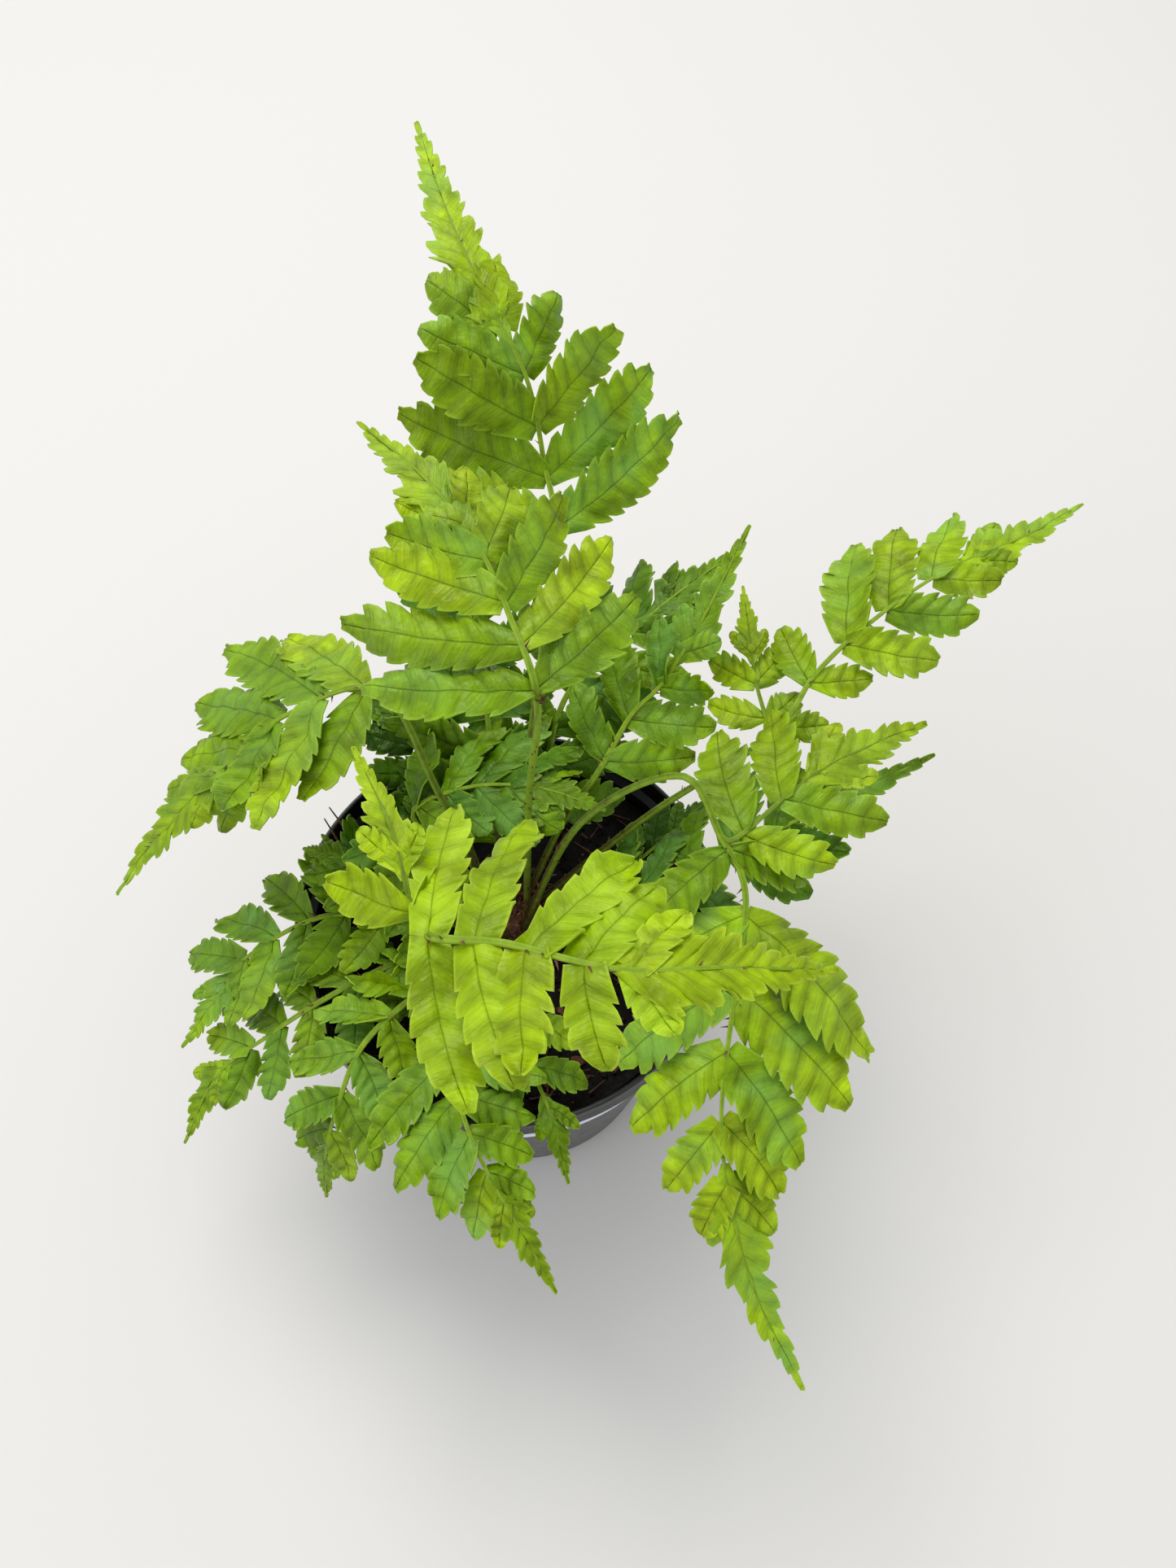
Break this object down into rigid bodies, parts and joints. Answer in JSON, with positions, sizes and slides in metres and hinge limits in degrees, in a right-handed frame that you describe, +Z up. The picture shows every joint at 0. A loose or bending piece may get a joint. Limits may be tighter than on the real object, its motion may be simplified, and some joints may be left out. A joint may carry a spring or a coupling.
{
  "type": "potted fern",
  "caption": "Young fern with arching toothed green fronds growing from a scaly crown in a small round black nursery pot with a pale blank sticker",
  "frame": {"origin": "the middle of the flat underside of the pot", "axes": "+Z up along the pot's axis; -Y towards the side that the plant is seen from, where the sticker is; +X to that viewer's right"},
  "size_m": [0.1906, 0.2165, 0.1783],
  "materials": {
    "pot_plastic": "thin vacuum-formed black polypropylene, glossy, with fine drawn lines round the rim band",
    "sticker": "pale lavender-white coated sticker paper, blank",
    "soil": "moist near-black peat with brown fibres",
    "crown_scales": "dry brown papery scales over a short woody rootstock",
    "fern_leaf": "thin waxy green leaf with dark veins and a soft sheen",
    "young_fern_leaf": "bright yellow-green young leaf with pale highlights",
    "dry_leaf": "dead straw-brown leaf tissue",
    "bark": "rough reddish-brown bark"
  },
  "bodies": {
    "root": {"pot": "pot_plastic", "pot_sticker": "sticker", "potting_soil": "soil", "crown": "crown_scales", "frond_back_tall": "fern_leaf", "frond_centre": "fern_leaf", "frond_left": "fern_leaf", "frond_near": "young_fern_leaf", "frond_right_front": "fern_leaf", "frond_right_back": "fern_leaf", "frond_right_inner": "fern_leaf", "frond_low_centre": "fern_leaf", "frond_front": "fern_leaf", "frond_front_small": "fern_leaf", "frond_left_low_back": "fern_leaf", "frond_left_low_middle": "fern_leaf", "frond_left_low_front": "fern_leaf", "frond_left_small": "fern_leaf", "frond_inner_back": "fern_leaf", "frond_back_inner": "fern_leaf", "frond_inner_right": "fern_leaf", "frond_inner_low_right": "fern_leaf", "frond_inner_low_left": "fern_leaf", "withered_leaflet": "dry_leaf", "dry_stalk_1": "dry_leaf", "dry_stalk_2": "dry_leaf", "bark_chip_1": "bark", "bark_chip_2": "bark", "bark_chip_3": "bark", "bark_chip_4": "bark"}
  },
  "joints": []
}
